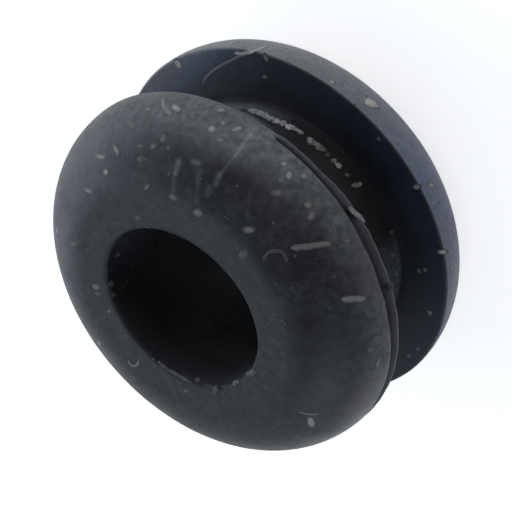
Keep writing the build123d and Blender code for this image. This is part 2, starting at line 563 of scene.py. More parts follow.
def flash_lip(given, at, beyond, on_line, above):
    """The uneven strip of flash below the crevice: how far it stands proud, and how far it hangs."""
    tree = at.tree
    unevenness = add(tree, "ShaderNodeTexNoise", {
        "Vector": at.place, "Scale": 1 / (0.5 * MM), "Detail": 3.0})
    below = add(tree, "ShaderNodeMapRange", {
        "Value": above, "From Min": -0.05 * MM, "From Max": -0.12 * MM, "To Min": 0.0, "To Max": 1.0})
    underside = add(tree, "ShaderNodeMapRange", {
        "Value": at.height, "From Min": GROOVE_FACE - 0.1 * MM, "From Max": GROOVE_FACE - 0.02 * MM})
    proud = below
    for share in (underside, unevenness, given["Lip height"]):
        proud = add(tree, "ShaderNodeMath", {0: proud, 1: share}, operation="MULTIPLY")

    # The strip grows from the mould line's ends, and is ragged along its lower edge
    at_lip = add(tree, "ShaderNodeMapRange", {
        "Value": at.radius, "From Min": FLANGE_RADIUS - 0.45 * MM, "From Max": FLANGE_RADIUS - 0.15 * MM})
    low_on_rim = add(tree, "ShaderNodeMapRange", {
        "Value": at.height, "From Min": GROOVE_FACE + 0.16 * MM, "From Max": GROOVE_FACE + 0.04 * MM})
    growth = add(tree, "ShaderNodeMapRange", {
        "Value": beyond, "From Min": math.radians(-16), "From Max": math.radians(-25),
        "To Min": 0.2, "To Max": 1.0})
    ragged = add(
        tree, "ShaderNodeMath", {0: growth, 1: unevenness, 2: growth}, operation="MULTIPLY_ADD")
    sink = at_lip
    for share in (low_on_rim, underside, on_line, ragged, given["Lip drop"], LIP_SHARE):
        sink = add(tree, "ShaderNodeMath", {0: sink, 1: share}, operation="MULTIPLY")
    return proud, add(tree, "ShaderNodeCombineXYZ", {"Z": sink})


def torn_hub(given, at, moved):
    """Adds the hub's rough face, torn from the mould, to how far a point moves outwards."""
    tree = at.tree
    grain = add(tree, "ShaderNodeTexNoise", {
        "Vector": at.place, "Scale": 1 / (0.4 * MM), "Detail": 4.0, "Roughness": 0.6})
    depth = add(tree, "ShaderNodeMapRange", {
        "Value": at.radius, "From Min": HUB_RADIUS + 0.1 * MM, "From Max": HUB_RADIUS + 0.5 * MM,
        "To Min": given["Hub roughness"], "To Max": 0.0})
    off_bore = add(tree, "ShaderNodeMapRange", {
        "Value": at.radius, "From Min": HUB_RADIUS - 0.6 * MM, "From Max": HUB_RADIUS - 0.1 * MM})
    amount = add(tree, "ShaderNodeMath", {0: depth, 1: off_bore}, operation="MULTIPLY")
    from_middle = add(tree, "ShaderNodeMath", {0: at.height}, operation="ABSOLUTE")
    in_groove = add(tree, "ShaderNodeMapRange", {
        "Value": from_middle, "From Min": GROOVE_FACE - 0.3 * MM, "From Max": GROOVE_FACE - 0.05 * MM,
        "To Min": 1.0, "To Max": 0.0})
    centred = add(tree, "ShaderNodeMath", {0: grain, 1: 0.5}, operation="SUBTRACT")
    rough = add(tree, "ShaderNodeMath", {0: centred, 1: amount}, operation="MULTIPLY")
    return add(tree, "ShaderNodeMath", {0: rough, 1: in_groove, 2: moved}, operation="MULTIPLY_ADD")


def worn_mouth(given, at, moved):
    """Adds the bore's ragged and stretched upper mouth to how far a point moves outwards."""
    tree = at.tree
    from_wall = add(tree, "ShaderNodeMath", {0: at.radius, 1: BORE_RADIUS}, operation="SUBTRACT")
    from_top = add(tree, "ShaderNodeMath", {0: at.height, 1: TOP}, operation="SUBTRACT")
    corner = add(tree, "ShaderNodeCombineXYZ", {"X": from_wall, "Y": from_top})
    from_mouth = add(tree, "ShaderNodeVectorMath", {0: corner}, operation="LENGTH")
    at_mouth = add(tree, "ShaderNodeMapRange", {
        "Value": from_mouth, "From Min": 0.15 * MM, "From Max": 0.45 * MM, "To Min": 1.0, "To Max": 0.0})
    tear = add(tree, "ShaderNodeMapRange", {
        "Value": at.facing(given["Torn side"]), "From Min": 0.55, "From Max": 0.85,
        "To Min": 0.3, "To Max": 1.0})
    nibbled = add(tree, "ShaderNodeTexNoise", {
        "Vector": at.place, "Scale": 1 / (0.35 * MM), "Detail": 2.0, "Roughness": 0.5})
    nibbles = add(tree, "ShaderNodeMath", {0: nibbled, 1: 0.45}, operation="SUBTRACT")
    tear_here = add(tree, "ShaderNodeMath", {0: at_mouth, 1: tear}, operation="MULTIPLY")
    tear_size = add(
        tree, "ShaderNodeMath", {0: tear_here, 1: given["Mouth tear"]}, operation="MULTIPLY")

    # The mouth is pulled open along one line, more at one end than at the other
    pulled = at.facing(given["Stretch side"])
    both_ends = add(tree, "ShaderNodeMath", {0: pulled, 1: pulled}, operation="MULTIPLY")
    one_end_more = add(
        tree, "ShaderNodeMath", {0: pulled, 1: 0.33, 2: 1.0}, operation="MULTIPLY_ADD")
    stretch = add(tree, "ShaderNodeMath", {0: both_ends, 1: one_end_more}, operation="MULTIPLY")
    up_the_bore = add(tree, "ShaderNodeMapRange", {"Value": at.height, "From Max": TOP - 0.3 * MM})
    by_the_bore = add(tree, "ShaderNodeMapRange", {
        "Value": from_wall, "From Min": 0.3 * MM, "From Max": 0.7 * MM, "To Min": 1.0, "To Max": 0.0})
    at_upper_bore = add(
        tree, "ShaderNodeMath", {0: up_the_bore, 1: by_the_bore}, operation="MULTIPLY")
    stretch_here = add(tree, "ShaderNodeMath", {0: stretch, 1: at_upper_bore}, operation="MULTIPLY")
    stretched = add(
        tree, "ShaderNodeMath", {0: stretch_here, 1: given["Mouth stretch"], 2: moved},
        operation="MULTIPLY_ADD")
    return add(
        tree, "ShaderNodeMath", {0: nibbles, 1: tear_size, 2: stretched}, operation="MULTIPLY_ADD")


def moulding_faults(tree, given, ring):
    """Moves the turned ring's points where the mould left it less than true."""
    at = BorePlace(tree, add(tree, "GeometryNodeInputPosition"))
    beyond, on_line, above = mould_line(given, at)
    crevice, depth = mould_crevice(given, at, beyond, above)
    proud, lip_offset = flash_lip(given, at, beyond, on_line, above)
    crevice_here = add(tree, "ShaderNodeMath", {0: crevice, 1: on_line}, operation="MULTIPLY")
    marked = add(
        tree, "GeometryNodeStoreNamedAttribute",
        {"Geometry": ring, "Name": "crevice", "Value": crevice_here}, data_type="FLOAT", domain="POINT")
    line = add(tree, "ShaderNodeMath", {0: proud, 1: depth}, operation="SUBTRACT")
    rim_move = add(tree, "ShaderNodeMath", {0: line, 1: on_line}, operation="MULTIPLY")
    outward_move = worn_mouth(given, at, torn_hub(given, at, rim_move))
    moved = add(
        tree, "ShaderNodeVectorMath", {0: at.outward(), "Scale": outward_move}, operation="SCALE")
    moved_lip = add(tree, "ShaderNodeVectorMath", {0: moved, 1: lip_offset}, operation="ADD")
    wave = uneven_offset(tree, at.place, 4.0 * MM, 1.0, given["Waviness"])
    offset = add(tree, "ShaderNodeVectorMath", {0: moved_lip, 1: wave}, operation="ADD")
    return add(tree, "GeometryNodeSetPosition", {"Geometry": marked, "Offset": offset})


def socket_name(size):
    """The name that a tree's input has for one of the ring's sizes."""
    return size.replace("_", " ").capitalize()


def ring_tree(material):
    """The whole ring: its section, turned, with its moulding faults."""
    inputs = {
        "Section": "NodeSocketGeometry", "Segments": "NodeSocketInt", "Path radius": "NodeSocketFloat",
        "Rim place": "NodeSocketVector", "Mouth place": "NodeSocketVector",
        "Mould line middle": "NodeSocketVector", "Mould line reach": "NodeSocketFloat",
        "Torn side": "NodeSocketVector", "Stretch side": "NodeSocketVector"}
    inputs.update({socket_name(size): "NodeSocketFloat" for size in RING_SIZES})
    tree, given = new_tree("turned ring", inputs)
    turned = turned_section(tree, given)
    finish_tree(tree, moulding_faults(tree, given, turned), material)
    return tree


def lumps_tree(material):
    """Sets a small uneven lump on each point, by the point's normal, direction, size and bulk."""
    tree, given = new_tree("lumps", {
        "Points": "NodeSocketGeometry", "Detail": "NodeSocketInt", "Unevenness": "NodeSocketFloat"})
    upright, along, size = (
        add(tree, "GeometryNodeInputNamedAttribute", {"Name": name}, data_type="FLOAT_VECTOR")
        for name in ("upright", "along", "size"))
    turn = add(
        tree, "FunctionNodeAxesToRotation", {"Primary Axis": upright, "Secondary Axis": along},
        primary_axis="Z", secondary_axis="X")
    points = add(tree, "GeometryNodeMeshToPoints", {"Mesh": given["Points"]})
    place = add(tree, "GeometryNodeInputPosition")
    height = add(tree, "ShaderNodeSeparateXYZ", {"Vector": place}).outputs["Z"]
    lump = add(tree, "GeometryNodeMeshIcoSphere", {"Radius": 0.5, "Subdivisions": given["Detail"]})
    crowned = add(
        tree, "GeometryNodeStoreNamedAttribute",
        {"Geometry": lump.outputs["Mesh"], "Name": "crown", "Value": height},
        data_type="FLOAT", domain="POINT")
    lumps = add(tree, "GeometryNodeInstanceOnPoints", {
        "Points": points, "Instance": crowned, "Rotation": turn, "Scale": size})
    real = add(tree, "GeometryNodeRealizeInstances", {"Geometry": lumps})
    bulk = add(tree, "GeometryNodeInputNamedAttribute", {"Name": "bulk"}, data_type="FLOAT")
    amount = add(tree, "ShaderNodeMath", {0: bulk, 1: given["Unevenness"]}, operation="MULTIPLY")
    offset = uneven_offset(tree, place, 0.12 * MM, 2.0, amount)
    moved = add(tree, "GeometryNodeSetPosition", {"Geometry": real, "Offset": offset})
    finish_tree(tree, moved, material)
    return tree


def strands_tree(material):
    """Makes a flattened strand along each chain of edges, as thick and as upright as its points say."""
    tree, given = new_tree("strands", {
        "Chains": "NodeSocketGeometry", "Sides": "NodeSocketInt", "Flatness": "NodeSocketFloat",
        "Unevenness": "NodeSocketFloat"})
    thickness = add(tree, "GeometryNodeInputNamedAttribute", {"Name": "thickness"}, data_type="FLOAT")
    upright = add(
        tree, "GeometryNodeInputNamedAttribute", {"Name": "upright"}, data_type="FLOAT_VECTOR")
    place = add(tree, "GeometryNodeInputPosition")
    lines = add(tree, "GeometryNodeMeshToCurve", {"Mesh": given["Chains"]})
    standing = add(
        tree, "GeometryNodeSetCurveNormal", {"Curve": lines, "Normal": upright}, mode="FREE")

    # The section's X axis follows the strand's upright
    height = add(tree, "ShaderNodeSeparateXYZ", {"Vector": place}).outputs["X"]
    round_section = add(
        tree, "GeometryNodeCurvePrimitiveCircle", {"Resolution": given["Sides"], "Radius": 0.5},
        mode="RADIUS")
    crowned = add(
        tree, "GeometryNodeStoreNamedAttribute",
        {"Geometry": round_section, "Name": "crown", "Value": height}, data_type="FLOAT", domain="POINT")
    low = add(tree, "ShaderNodeCombineXYZ", {"X": given["Flatness"], "Y": 1.0, "Z": 1.0})
    flat_section = add(tree, "GeometryNodeTransform", {"Geometry": crowned, "Scale": low})
    tubes = add(tree, "GeometryNodeCurveToMesh", {
        "Curve": standing, "Profile Curve": flat_section, "Scale": thickness, "Fill Caps": True})
    amount = add(tree, "ShaderNodeMath", {0: thickness, 1: given["Unevenness"]}, operation="MULTIPLY")
    offset = uneven_offset(tree, place, 0.15 * MM, 2.0, amount)
    moved = add(tree, "GeometryNodeSetPosition", {"Geometry": tubes, "Offset": offset})
    finish_tree(tree, moved, material)
    return tree


def dust_fall_tree(material):
    """Scatters fine dust over the outer faces of a ring, away from its bore and groove."""
    tree, given = new_tree("dust fall", {
        "Geometry": "NodeSocketGeometry", "Ring": "NodeSocketObject", "Density": "NodeSocketFloat",
        "Seed": "NodeSocketInt", "Smallest": "NodeSocketFloat", "Largest": "NodeSocketFloat"})
    source = add(tree, "GeometryNodeObjectInfo", {"Object": given["Ring"]})
    at = BorePlace(tree, add(tree, "GeometryNodeInputPosition"))
    from_middle = add(tree, "ShaderNodeMath", {0: at.height}, operation="ABSOLUTE")

    # Dust falls where a point is clear of the groove, the floor and the bore
    clear = True
    for measure, edge in ((from_middle, GROOVE_FACE), (at.height, -TOP), (at.radius, BORE_RADIUS)):
        beyond = add(
            tree, "FunctionNodeCompare", {"A": measure, "B": edge + 0.1 * MM},
            data_type="FLOAT", operation="GREATER_THAN")
        clear = add(tree, "FunctionNodeBooleanMath", {0: clear, 1: beyond}, operation="AND")
    fallen = add(
        tree, "GeometryNodeDistributePointsOnFaces",
        {"Mesh": source.outputs["Geometry"], "Selection": clear, "Density": given["Density"],
         "Seed": given["Seed"]}, distribute_method="RANDOM")
    tone = add(
        tree, "FunctionNodeRandomValue", {2: 0.2, 3: 0.7, "Seed": PALENESS_SEED}, data_type="FLOAT")
    toned = add(
        tree, "GeometryNodeStoreNamedAttribute",
        {"Geometry": fallen.outputs["Points"], "Name": "paleness", "Value": tone},
        data_type="FLOAT", domain="POINT")

    # Each grain is a flat lump with few faces, sunk a little, and most grains are small
    lump = add(tree, "GeometryNodeMeshIcoSphere", {"Radius": 0.5, "Subdivisions": 1})
    crowned = add(
        tree, "GeometryNodeStoreNamedAttribute",
        {"Geometry": lump.outputs["Mesh"], "Name": "crown", "Value": at.height},
        data_type="FLOAT", domain="POINT")
    sunk = add(tree, "GeometryNodeTransform", {"Geometry": crowned, "Translation": (0.0, 0.0, -0.3)})
    evenly = add(tree, "FunctionNodeRandomValue", {"Seed": given["Seed"]}, data_type="FLOAT")
    mostly_small = add(tree, "ShaderNodeMath", {0: evenly, 1: 3.0}, operation="POWER")
    across = add(tree, "ShaderNodeMapRange", {
        "Value": mostly_small, "To Min": given["Smallest"], "To Max": given["Largest"]})
    flat = add(tree, "ShaderNodeMath", {0: across, 1: 0.2}, operation="MULTIPLY")
    size = add(tree, "ShaderNodeCombineXYZ", {"X": across, "Y": across, "Z": flat})
    grains = add(tree, "GeometryNodeInstanceOnPoints", {
        "Points": toned, "Instance": sunk, "Rotation": fallen.outputs["Rotation"], "Scale": size})
    finish_tree(tree, grains, material)
    return tree


def mark_group():
    """A shader group that adds to the film near a line, seen square to the surface there."""
    tree = bpy.data.node_groups.new("mark", "ShaderNodeTree")
    for label in ("Place", "Start", "End", "Upright"):
        tree.interface.new_socket(label, in_out="INPUT", socket_type="NodeSocketVector")
    for label in ("Half width", "Strength", "Sum"):
        tree.interface.new_socket(label, in_out="INPUT", socket_type="NodeSocketFloat")
    tree.interface.new_socket("Sum", in_out="OUTPUT", socket_type="NodeSocketFloat")
    given = add(tree, "NodeGroupInput").outputs
    run = add(tree, "ShaderNodeVectorMath", {0: given["End"], 1: given["Start"]}, operation="SUBTRACT")
    reach = add(
        tree, "ShaderNodeVectorMath", {0: given["Place"], 1: given["Start"]}, operation="SUBTRACT")
    run_squared = add(tree, "ShaderNodeVectorMath", {0: run, 1: run}, operation="DOT_PRODUCT")
    reach_on_run = add(tree, "ShaderNodeVectorMath", {0: reach, 1: run}, operation="DOT_PRODUCT")
    share = add(
        tree, "ShaderNodeMath", {0: reach_on_run, 1: run_squared}, operation="DIVIDE", use_clamp=True)
    foot = add(tree, "ShaderNodeVectorMath", {0: run, "Scale": share}, operation="SCALE")
    gap = add(tree, "ShaderNodeVectorMath", {0: reach, 1: foot}, operation="SUBTRACT")
    lift = add(tree, "ShaderNodeVectorMath", {0: gap, 1: given["Upright"]}, operation="DOT_PRODUCT")
    lifted = add(
        tree, "ShaderNodeVectorMath", {0: given["Upright"], "Scale": lift}, operation="SCALE")
    aside = add(tree, "ShaderNodeVectorMath", {0: gap, 1: lifted}, operation="SUBTRACT")
    distance = add(tree, "ShaderNodeVectorMath", {0: aside}, operation="LENGTH")
    mark = add(
        tree, "ShaderNodeMapRange",
        {"Value": distance, "From Max": given["Half width"], "To Min": given["Strength"], "To Max": 0.0},
        interpolation_type="SMOOTHSTEP")
    height = add(tree, "ShaderNodeMath", {0: lift}, operation="ABSOLUTE")
    near = add(tree, "ShaderNodeMath", {0: height, 1: 0.25 * MM}, operation="LESS_THAN")
    total = add(tree, "ShaderNodeMath", {0: mark, 1: near, 2: given["Sum"]}, operation="MULTIPLY_ADD")
    add(tree, "NodeGroupOutput", {"Sum": total})
    return tree


def new_material(name):
    """An empty node material."""
    material = bpy.data.materials.new(name)
    material.use_nodes = True
    material.node_tree.nodes.clear()
    return material, material.node_tree


def groove_masks(at):
    """Where the groove is, and the hub at its bottom."""
    tree = at.tree
    outside_bore = add(tree, "ShaderNodeMapRange", {
        "Value": at.radius, "From Min": HUB_RADIUS - 0.6 * MM, "From Max": HUB_RADIUS - 0.3 * MM})
    hub_side = add(tree, "ShaderNodeMapRange", {
        "Value": at.radius, "From Min": HUB_RADIUS + 0.06 * MM, "From Max": HUB_RADIUS + 0.18 * MM,
        "To Min": 1.0, "To Max": 0.0})
    from_middle = add(tree, "ShaderNodeMath", {0: at.height}, operation="ABSOLUTE")
    in_groove = add(tree, "ShaderNodeMapRange", {
        "Value": from_middle, "From Min": GROOVE_FACE + 0.05 * MM, "From Max": GROOVE_FACE + 0.1 * MM,
        "To Min": 1.0, "To Max": 0.0})
    between_flanges = add(
        tree, "ShaderNodeMath", {0: outside_bore, 1: in_groove}, operation="MULTIPLY")
    on_hub = add(tree, "ShaderNodeMath", {0: hub_side, 1: between_flanges}, operation="MULTIPLY")
    return between_flanges, on_hub


def groove_film_and_painted_light(at, ring, to_dusty_lit_side, on_hub):
    """The groove's thin film, with a dusty and a scraped side to the hub, and the dust on its faces; both
    of the hub's sides and the faces' far end are dust and painted light, and the film thins as painted
    shade into the hub's lower corner and towards the hub on the faces.
    """
    tree = at.tree
    # The hub's dusty side is dust and painted light
    dusty = add(
        tree, "ShaderNodeMapRange",
        {"Value": to_dusty_lit_side, "From Min": 0.8, "From Max": 0.97, "To Max": 0.32},
        interpolation_type="SMOOTHSTEP")
    # The hub's film thins into its lower corner, which paints shade there
    off_shaded_corner = add(tree, "ShaderNodeMapRange", {
        "Value": at.height, "From Min": 0.1 * MM - GROOVE_FACE, "From Max": 0.5 * MM - GROOVE_FACE})
    hub_dust_and_light = add(tree, "ShaderNodeMath", {0: dusty, 1: off_shaded_corner}, operation="MULTIPLY")
    # The hub's scraped side is wear and painted light
    scraped = add(
        tree, "ShaderNodeMapRange",
        {"Value": at.facing(level_direction(ring.hub_scraped_lit_side)), "From Min": 0.9, "From Max": 0.995,
         "To Max": 0.34}, interpolation_type="SMOOTHSTEP")
    hub_film_and_light = add(tree, "ShaderNodeMath", {0: hub_dust_and_light, 1: scraped}, operation="ADD")
    # The faces' film is painted light towards one far end, and thins as painted shade towards the hub
    to_face = add(
        tree, "ShaderNodeVectorMath", {0: at.level, 1: level_direction(ring.face_dusty_lit_side)},
        operation="DOT_PRODUCT")
    face_dust_and_painted_light = add(
        tree, "ShaderNodeMapRange", {"Value": to_face, "From Min": 5.4 * MM, "From Max": 6.8 * MM},
        interpolation_type="SMOOTHSTEP")
    face_film_and_painted_light = add(tree, "ShaderNodeMapRange", {
        "Value": at.radius, "From Min": HUB_RADIUS + 0.2 * MM, "From Max": FLANGE_RADIUS - 0.1 * MM,
        "To Min": 0.005, "To Max": 0.1})
    face_film_light_and_shade = add(
        tree, "ShaderNodeMath", {0: face_dust_and_painted_light, 1: 0.55, 2: face_film_and_painted_light}, operation="MULTIPLY_ADD")
    film = add(
        tree, "ShaderNodeMix", {"Factor": on_hub, "A": face_film_light_and_shade, "B": hub_film_and_light}, data_type="FLOAT")
    return film, face_dust_and_painted_light


def flange_film_and_painted_light(at, ring, groove_film_light_and_shade):
    """The film outside the bore, thicker towards a flange's rim, and where the lower flange is; it is dust
    and also paints sheen towards the upper rim, light on the rims' lit side, and light on the lower
    flange's rim.
    """
    tree = at.tree
    # Thicker film towards the upper rim: dust and a painted sheen
    upper = add(
        tree, "ShaderNodeMapRange",
        {"Value": at.height, "From Min": 3.7 * MM, "From Max": 2.2 * MM, "To Min": 0.085, "To Max": 0.22},
        interpolation_type="SMOOTHSTEP")
    to_edge = add(tree, "ShaderNodeMapRange", {
        "Value": at.height, "From Min": GROOVE_FACE, "From Max": GROOVE_FACE + 0.25 * MM, "To Min": 0.7})
    # More film on the rims' lit side: dust and painted light
    to_rim_lit_side = at.facing(level_direction(ring.rim_dusty_lit_side))
    rim_dust_and_light = add(
        tree, "ShaderNodeMapRange",
        {"Value": to_rim_lit_side, "From Min": 0.7, "From Max": 0.97, "To Max": 0.16},
        interpolation_type="SMOOTHSTEP")
    at_rim = add(
        tree, "ShaderNodeMapRange", {"Value": at.height, "From Min": 3.6 * MM, "From Max": 2.6 * MM},
        interpolation_type="SMOOTHSTEP")
    upper_dust_and_light = add(
        tree, "ShaderNodeMath", {0: rim_dust_and_light, 1: at_rim, 2: upper}, operation="MULTIPLY_ADD")
    upper_film_and_painted_light = add(tree, "ShaderNodeMath", {0: upper_dust_and_light, 1: to_edge}, operation="MULTIPLY")
    # The lower flange's thicker film is dust and painted light on its rim
    lower_flange = add(tree, "ShaderNodeMapRange", {
        "Value": at.height, "From Min": -GROOVE_FACE - 0.03 * MM, "From Max": -GROOVE_FACE - 0.09 * MM})
    lower_dust_and_light = add(tree, "ShaderNodeMapRange", {
        "Value": to_rim_lit_side, "From Min": -0.9, "From Max": -0.3, "To Min": 0.3, "To Max": 0.7})
    below_groove = add(
        tree, "ShaderNodeMix", {"Factor": lower_flange, "A": groove_film_light_and_shade, "B": lower_dust_and_light},
        data_type="FLOAT")
    is_upper = add(tree, "ShaderNodeMapRange", {
        "Value": at.height, "From Min": GROOVE_FACE - 0.3 * MM, "From Max": GROOVE_FACE - 0.2 * MM})
    film = add(
        tree, "ShaderNodeMix", {"Factor": is_upper, "A": below_groove, "B": upper_film_and_painted_light},
        data_type="FLOAT")
    return film, lower_flange


def film_colour(tree, finish, lower_flange, to_dusty_lit_side, on_face, face_dust_and_painted_light):
    """The colour of the film, which is bluer on the lower flange and on the groove's faces, a painted tint
    of cool light.
    """
    grey_side = add(tree, "ShaderNodeMapRange", {"Value": to_dusty_lit_side, "From Min": 0.2, "From Max": 0.95})
    lower_film_cool_lit = add(
        tree, "ShaderNodeMix", {"Factor": grey_side, "A": finish.lower_film_cool_lit, "B": finish.lower_film_dusty},
        data_type="RGBA")
    outer_film = add(
        tree, "ShaderNodeMix", {"Factor": lower_flange, "A": finish.film, "B": lower_film_cool_lit.outputs[2]},
        data_type="RGBA")
    face_film_and_painted_light = add(
        tree, "ShaderNodeMix", {"Factor": face_dust_and_painted_light, "A": finish.face_film_and_painted_light, "B": finish.face_film_dusty},
        data_type="RGBA")
    return add(
        tree, "ShaderNodeMix", {"Factor": on_face, "A": outer_film.outputs[2], "B": face_film_and_painted_light.outputs[2]},
        data_type="RGBA").outputs[2]


def rubber_material(ring, finish):
    """Moulded black rubber: matt and slightly uneven, with a thin grey film of dust on what stands out; the
    film's amount and tint also paint light, sheen and shade, and near-black rubber paints shade in the
    crevice and on the hub.
    """
    material, tree = new_material("moulded black rubber")
    at = BorePlace(tree, add(tree, "ShaderNodeTexCoord").outputs["Object"])
    between_flanges, on_hub = groove_masks(at)
    to_dusty_lit_side = at.facing(level_direction(ring.hub_dusty_lit_side))
    groove_film_light_and_shade, face_dust_and_painted_light = groove_film_and_painted_light(at, ring, to_dusty_lit_side, on_hub)
    outside, lower_flange = flange_film_and_painted_light(at, ring, groove_film_light_and_shade)

    # The bore's film thickens from almost none at its upper mouth towards its bottom, which paints light
    # onto the deep wall
    bore_film_and_light = add(tree, "ShaderNodeMapRange", {
        "Value": at.height, "From Min": 3.0 * MM, "From Max": -1.0 * MM, "To Min": 0.02, "To Max": 0.65})
    off_bore = add(tree, "ShaderNodeMapRange", {
        "Value": at.radius, "From Min": BORE_RADIUS + 0.02 * MM, "From Max": BORE_RADIUS + 0.32 * MM})
    film = add(
        tree, "ShaderNodeMix", {"Factor": off_bore, "A": bore_film_and_light, "B": outside}, data_type="FLOAT")

    # Patches where the film was wiped or settled, the rubber's fine grain and its uneven gloss
    broad, fine, grain = (
        add(tree, "ShaderNodeTexNoise", {
            "Vector": at.place, "Scale": 1 / size, "Detail": detail, "Roughness": 0.6})
        for size, detail in ((1.7 * MM, 4.0), (0.28 * MM, 4.0), (0.09 * MM, 3.0)))
    broad_share, fine_share, even_matt = (
        add(tree, "ShaderNodeMapRange", {
            "Value": noise, "From Min": 0.35, "From Max": 0.65, "To Min": least, "To Max": most})
        for noise, least, most in ((broad, 0.5, 1.5), (fine, 0.4, 1.6), (broad, 0.43, 0.6)))
    patches = add(tree, "ShaderNodeMath", {0: broad_share, 1: fine_share}, operation="MULTIPLY")
    in_bore = add(tree, "ShaderNodeMath", {0: 1.0, 1: off_bore}, operation="SUBTRACT")
    sheltered = add(tree, "ShaderNodeMath", {0: in_bore, 1: between_flanges}, operation="MAXIMUM")
    sheltered_or_low = add(
        tree, "ShaderNodeMath", {0: sheltered, 1: lower_flange}, operation="MAXIMUM")
    evenness = add(tree, "ShaderNodeMath", {0: sheltered_or_low, 1: 0.7}, operation="MULTIPLY")
    patches_here = add(
        tree, "ShaderNodeMix", {"Factor": evenness, "A": patches, "B": 1.0}, data_type="FLOAT")
    # The film in patches, with its painted light and shade
    dusted_and_lit = add(tree, "ShaderNodeMath", {0: film, 1: patches_here}, operation="MULTIPLY")
    marked_film = add(tree, "NodeReroute", {0: dusted_and_lit}, name=MARKED_FILM)

    # The mould line's crevice holds no film, which paints shade into it
    crevice = add(
        tree, "ShaderNodeAttribute", attribute_name="crevice", attribute_type="GEOMETRY").outputs["Fac"]
    out_of_crevice = add(tree, "ShaderNodeMapRange", {
        "Value": crevice, "From Min": 0.08, "From Max": 0.4, "To Min": 1.0, "To Max": 0.0})
    shown_film = add(
        tree, "ShaderNodeMath", {0: marked_film, 1: out_of_crevice}, operation="MULTIPLY", use_clamp=True)
    off_hub = add(tree, "ShaderNodeMath", {0: between_flanges, 1: on_hub}, operation="SUBTRACT")
    off_rim = add(tree, "ShaderNodeMapRange", {
        "Value": at.radius, "From Min": FLANGE_RADIUS - 0.15 * MM, "From Max": FLANGE_RADIUS - 0.05 * MM,
        "To Min": 1.0, "To Max": 0.0})
    on_face = add(tree, "ShaderNodeMath", {0: off_hub, 1: off_rim}, operation="MULTIPLY")
    # The hub and the crevice take the near-black rubber, painted shade at the groove's bottom and in the
    # crevice
    moulded = add(
        tree, "ShaderNodeMath", {0: on_hub, 1: -0.6, 2: out_of_crevice}, operation="MULTIPLY_ADD")
    bare = add(
        tree, "ShaderNodeMix", {"Factor": moulded, "A": finish.shade_painted_rubber, "B": finish.rubber},
        data_type="RGBA")
    over_bare = film_colour(tree, finish, lower_flange, to_dusty_lit_side, on_face, face_dust_and_painted_light)
    colour = add(
        tree, "ShaderNodeMix", {"Factor": shown_film, "A": bare.outputs[2], "B": over_bare},
        data_type="RGBA")

    # The hub was torn from the mould, so it and the corners beside it are rougher
    near_hub = add(tree, "ShaderNodeMapRange", {
        "Value": at.radius, "From Min": HUB_RADIUS + 0.15 * MM, "From Max": HUB_RADIUS + 0.5 * MM,
        "To Min": 1.0, "To Max": 0.0})
    torn = add(tree, "ShaderNodeMath", {0: near_hub, 1: between_flanges}, operation="MULTIPLY")
    torn_matt = add(tree, "ShaderNodeMath", {0: torn, 1: 0.3, 2: even_matt}, operation="MULTIPLY_ADD")
    crevice_matt = add(
        tree, "ShaderNodeMath", {0: crevice, 1: 0.4, 2: torn_matt}, operation="MULTIPLY_ADD")
    matt = add(
        tree, "ShaderNodeMath", {0: in_bore, 1: 0.3, 2: crevice_matt},
        operation="MULTIPLY_ADD", use_clamp=True)
    even_relief = add(tree, "ShaderNodeMath", {0: fine, 1: 2.0, 2: grain}, operation="MULTIPLY_ADD")
    coarser = add(tree, "ShaderNodeMath", {0: torn, 1: 4.0, 2: 1.0}, operation="MULTIPLY_ADD")
    relief = add(tree, "ShaderNodeMath", {0: even_relief, 1: coarser}, operation="MULTIPLY")
    bump = add(tree, "ShaderNodeBump", {"Height": relief, "Strength": 0.6, "Distance": 0.006 * MM})
    shader = add(tree, "ShaderNodeBsdfPrincipled", {
        "Base Color": colour.outputs[2], "Roughness": matt, "IOR": 1.5, "Normal": bump})
    add(tree, "ShaderNodeOutputMaterial", {"Surface": shader})
    return material


def add_marks(material, sight):
    """Draws the marks into a material's film, where the photograph's pixels meet the surface."""
    tree = material.node_tree
    film = tree.nodes[MARKED_FILM]
    place = next(node for node in tree.nodes if node.type == "TEX_COORD").outputs["Object"]
    total = film.inputs[0].links[0].from_socket
    group = mark_group()
    for start, end, width, strength in MARKS:
        middle = ((start[0] + end[0]) / 2, (start[1] + end[1]) / 2)
        mark = add(
            tree, "ShaderNodeGroup",
            {"Place": place, "Start": sight.meet(*start)[0], "End": sight.meet(*end)[0],
             "Upright": sight.meet(*middle)[1], "Half width": width / 2 * PIXEL, "Strength": strength,
             "Sum": total}, node_tree=group)
        total = mark.outputs["Sum"]
    tree.links.new(total, film.inputs[0])


def speckled_colour(tree, pale, dark, size, least, crown_range):
    """A colour in speckles, palest at the crown, with the speckles and how near the crown is."""
    place = add(tree, "ShaderNodeTexCoord").outputs["Object"]
    speckle = add(tree, "ShaderNodeTexNoise", {"Vector": place, "Scale": 1 / size, "Detail": 3.0})
    share = add(tree, "ShaderNodeMapRange", {
        "Value": speckle, "From Min": 0.3, "From Max": 0.7, "To Min": least, "To Max": 1.0})
    tone, crown = (
        add(tree, "ShaderNodeAttribute", attribute_name=name, attribute_type="GEOMETRY").outputs["Fac"]
        for name in ("paleness", "crown"))
    heart = add(
        tree, "ShaderNodeMapRange", {"Value": crown, **crown_range}, interpolation_type="SMOOTHSTEP")
    speckled = add(tree, "ShaderNodeMath", {0: share, 1: tone}, operation="MULTIPLY")
    paleness = add(tree, "ShaderNodeMath", {0: speckled, 1: heart}, operation="MULTIPLY")
    colour = add(tree, "ShaderNodeMix", {"Factor": paleness, "A": dark, "B": pale}, data_type="RGBA")
    return colour.outputs[2], speckle, heart


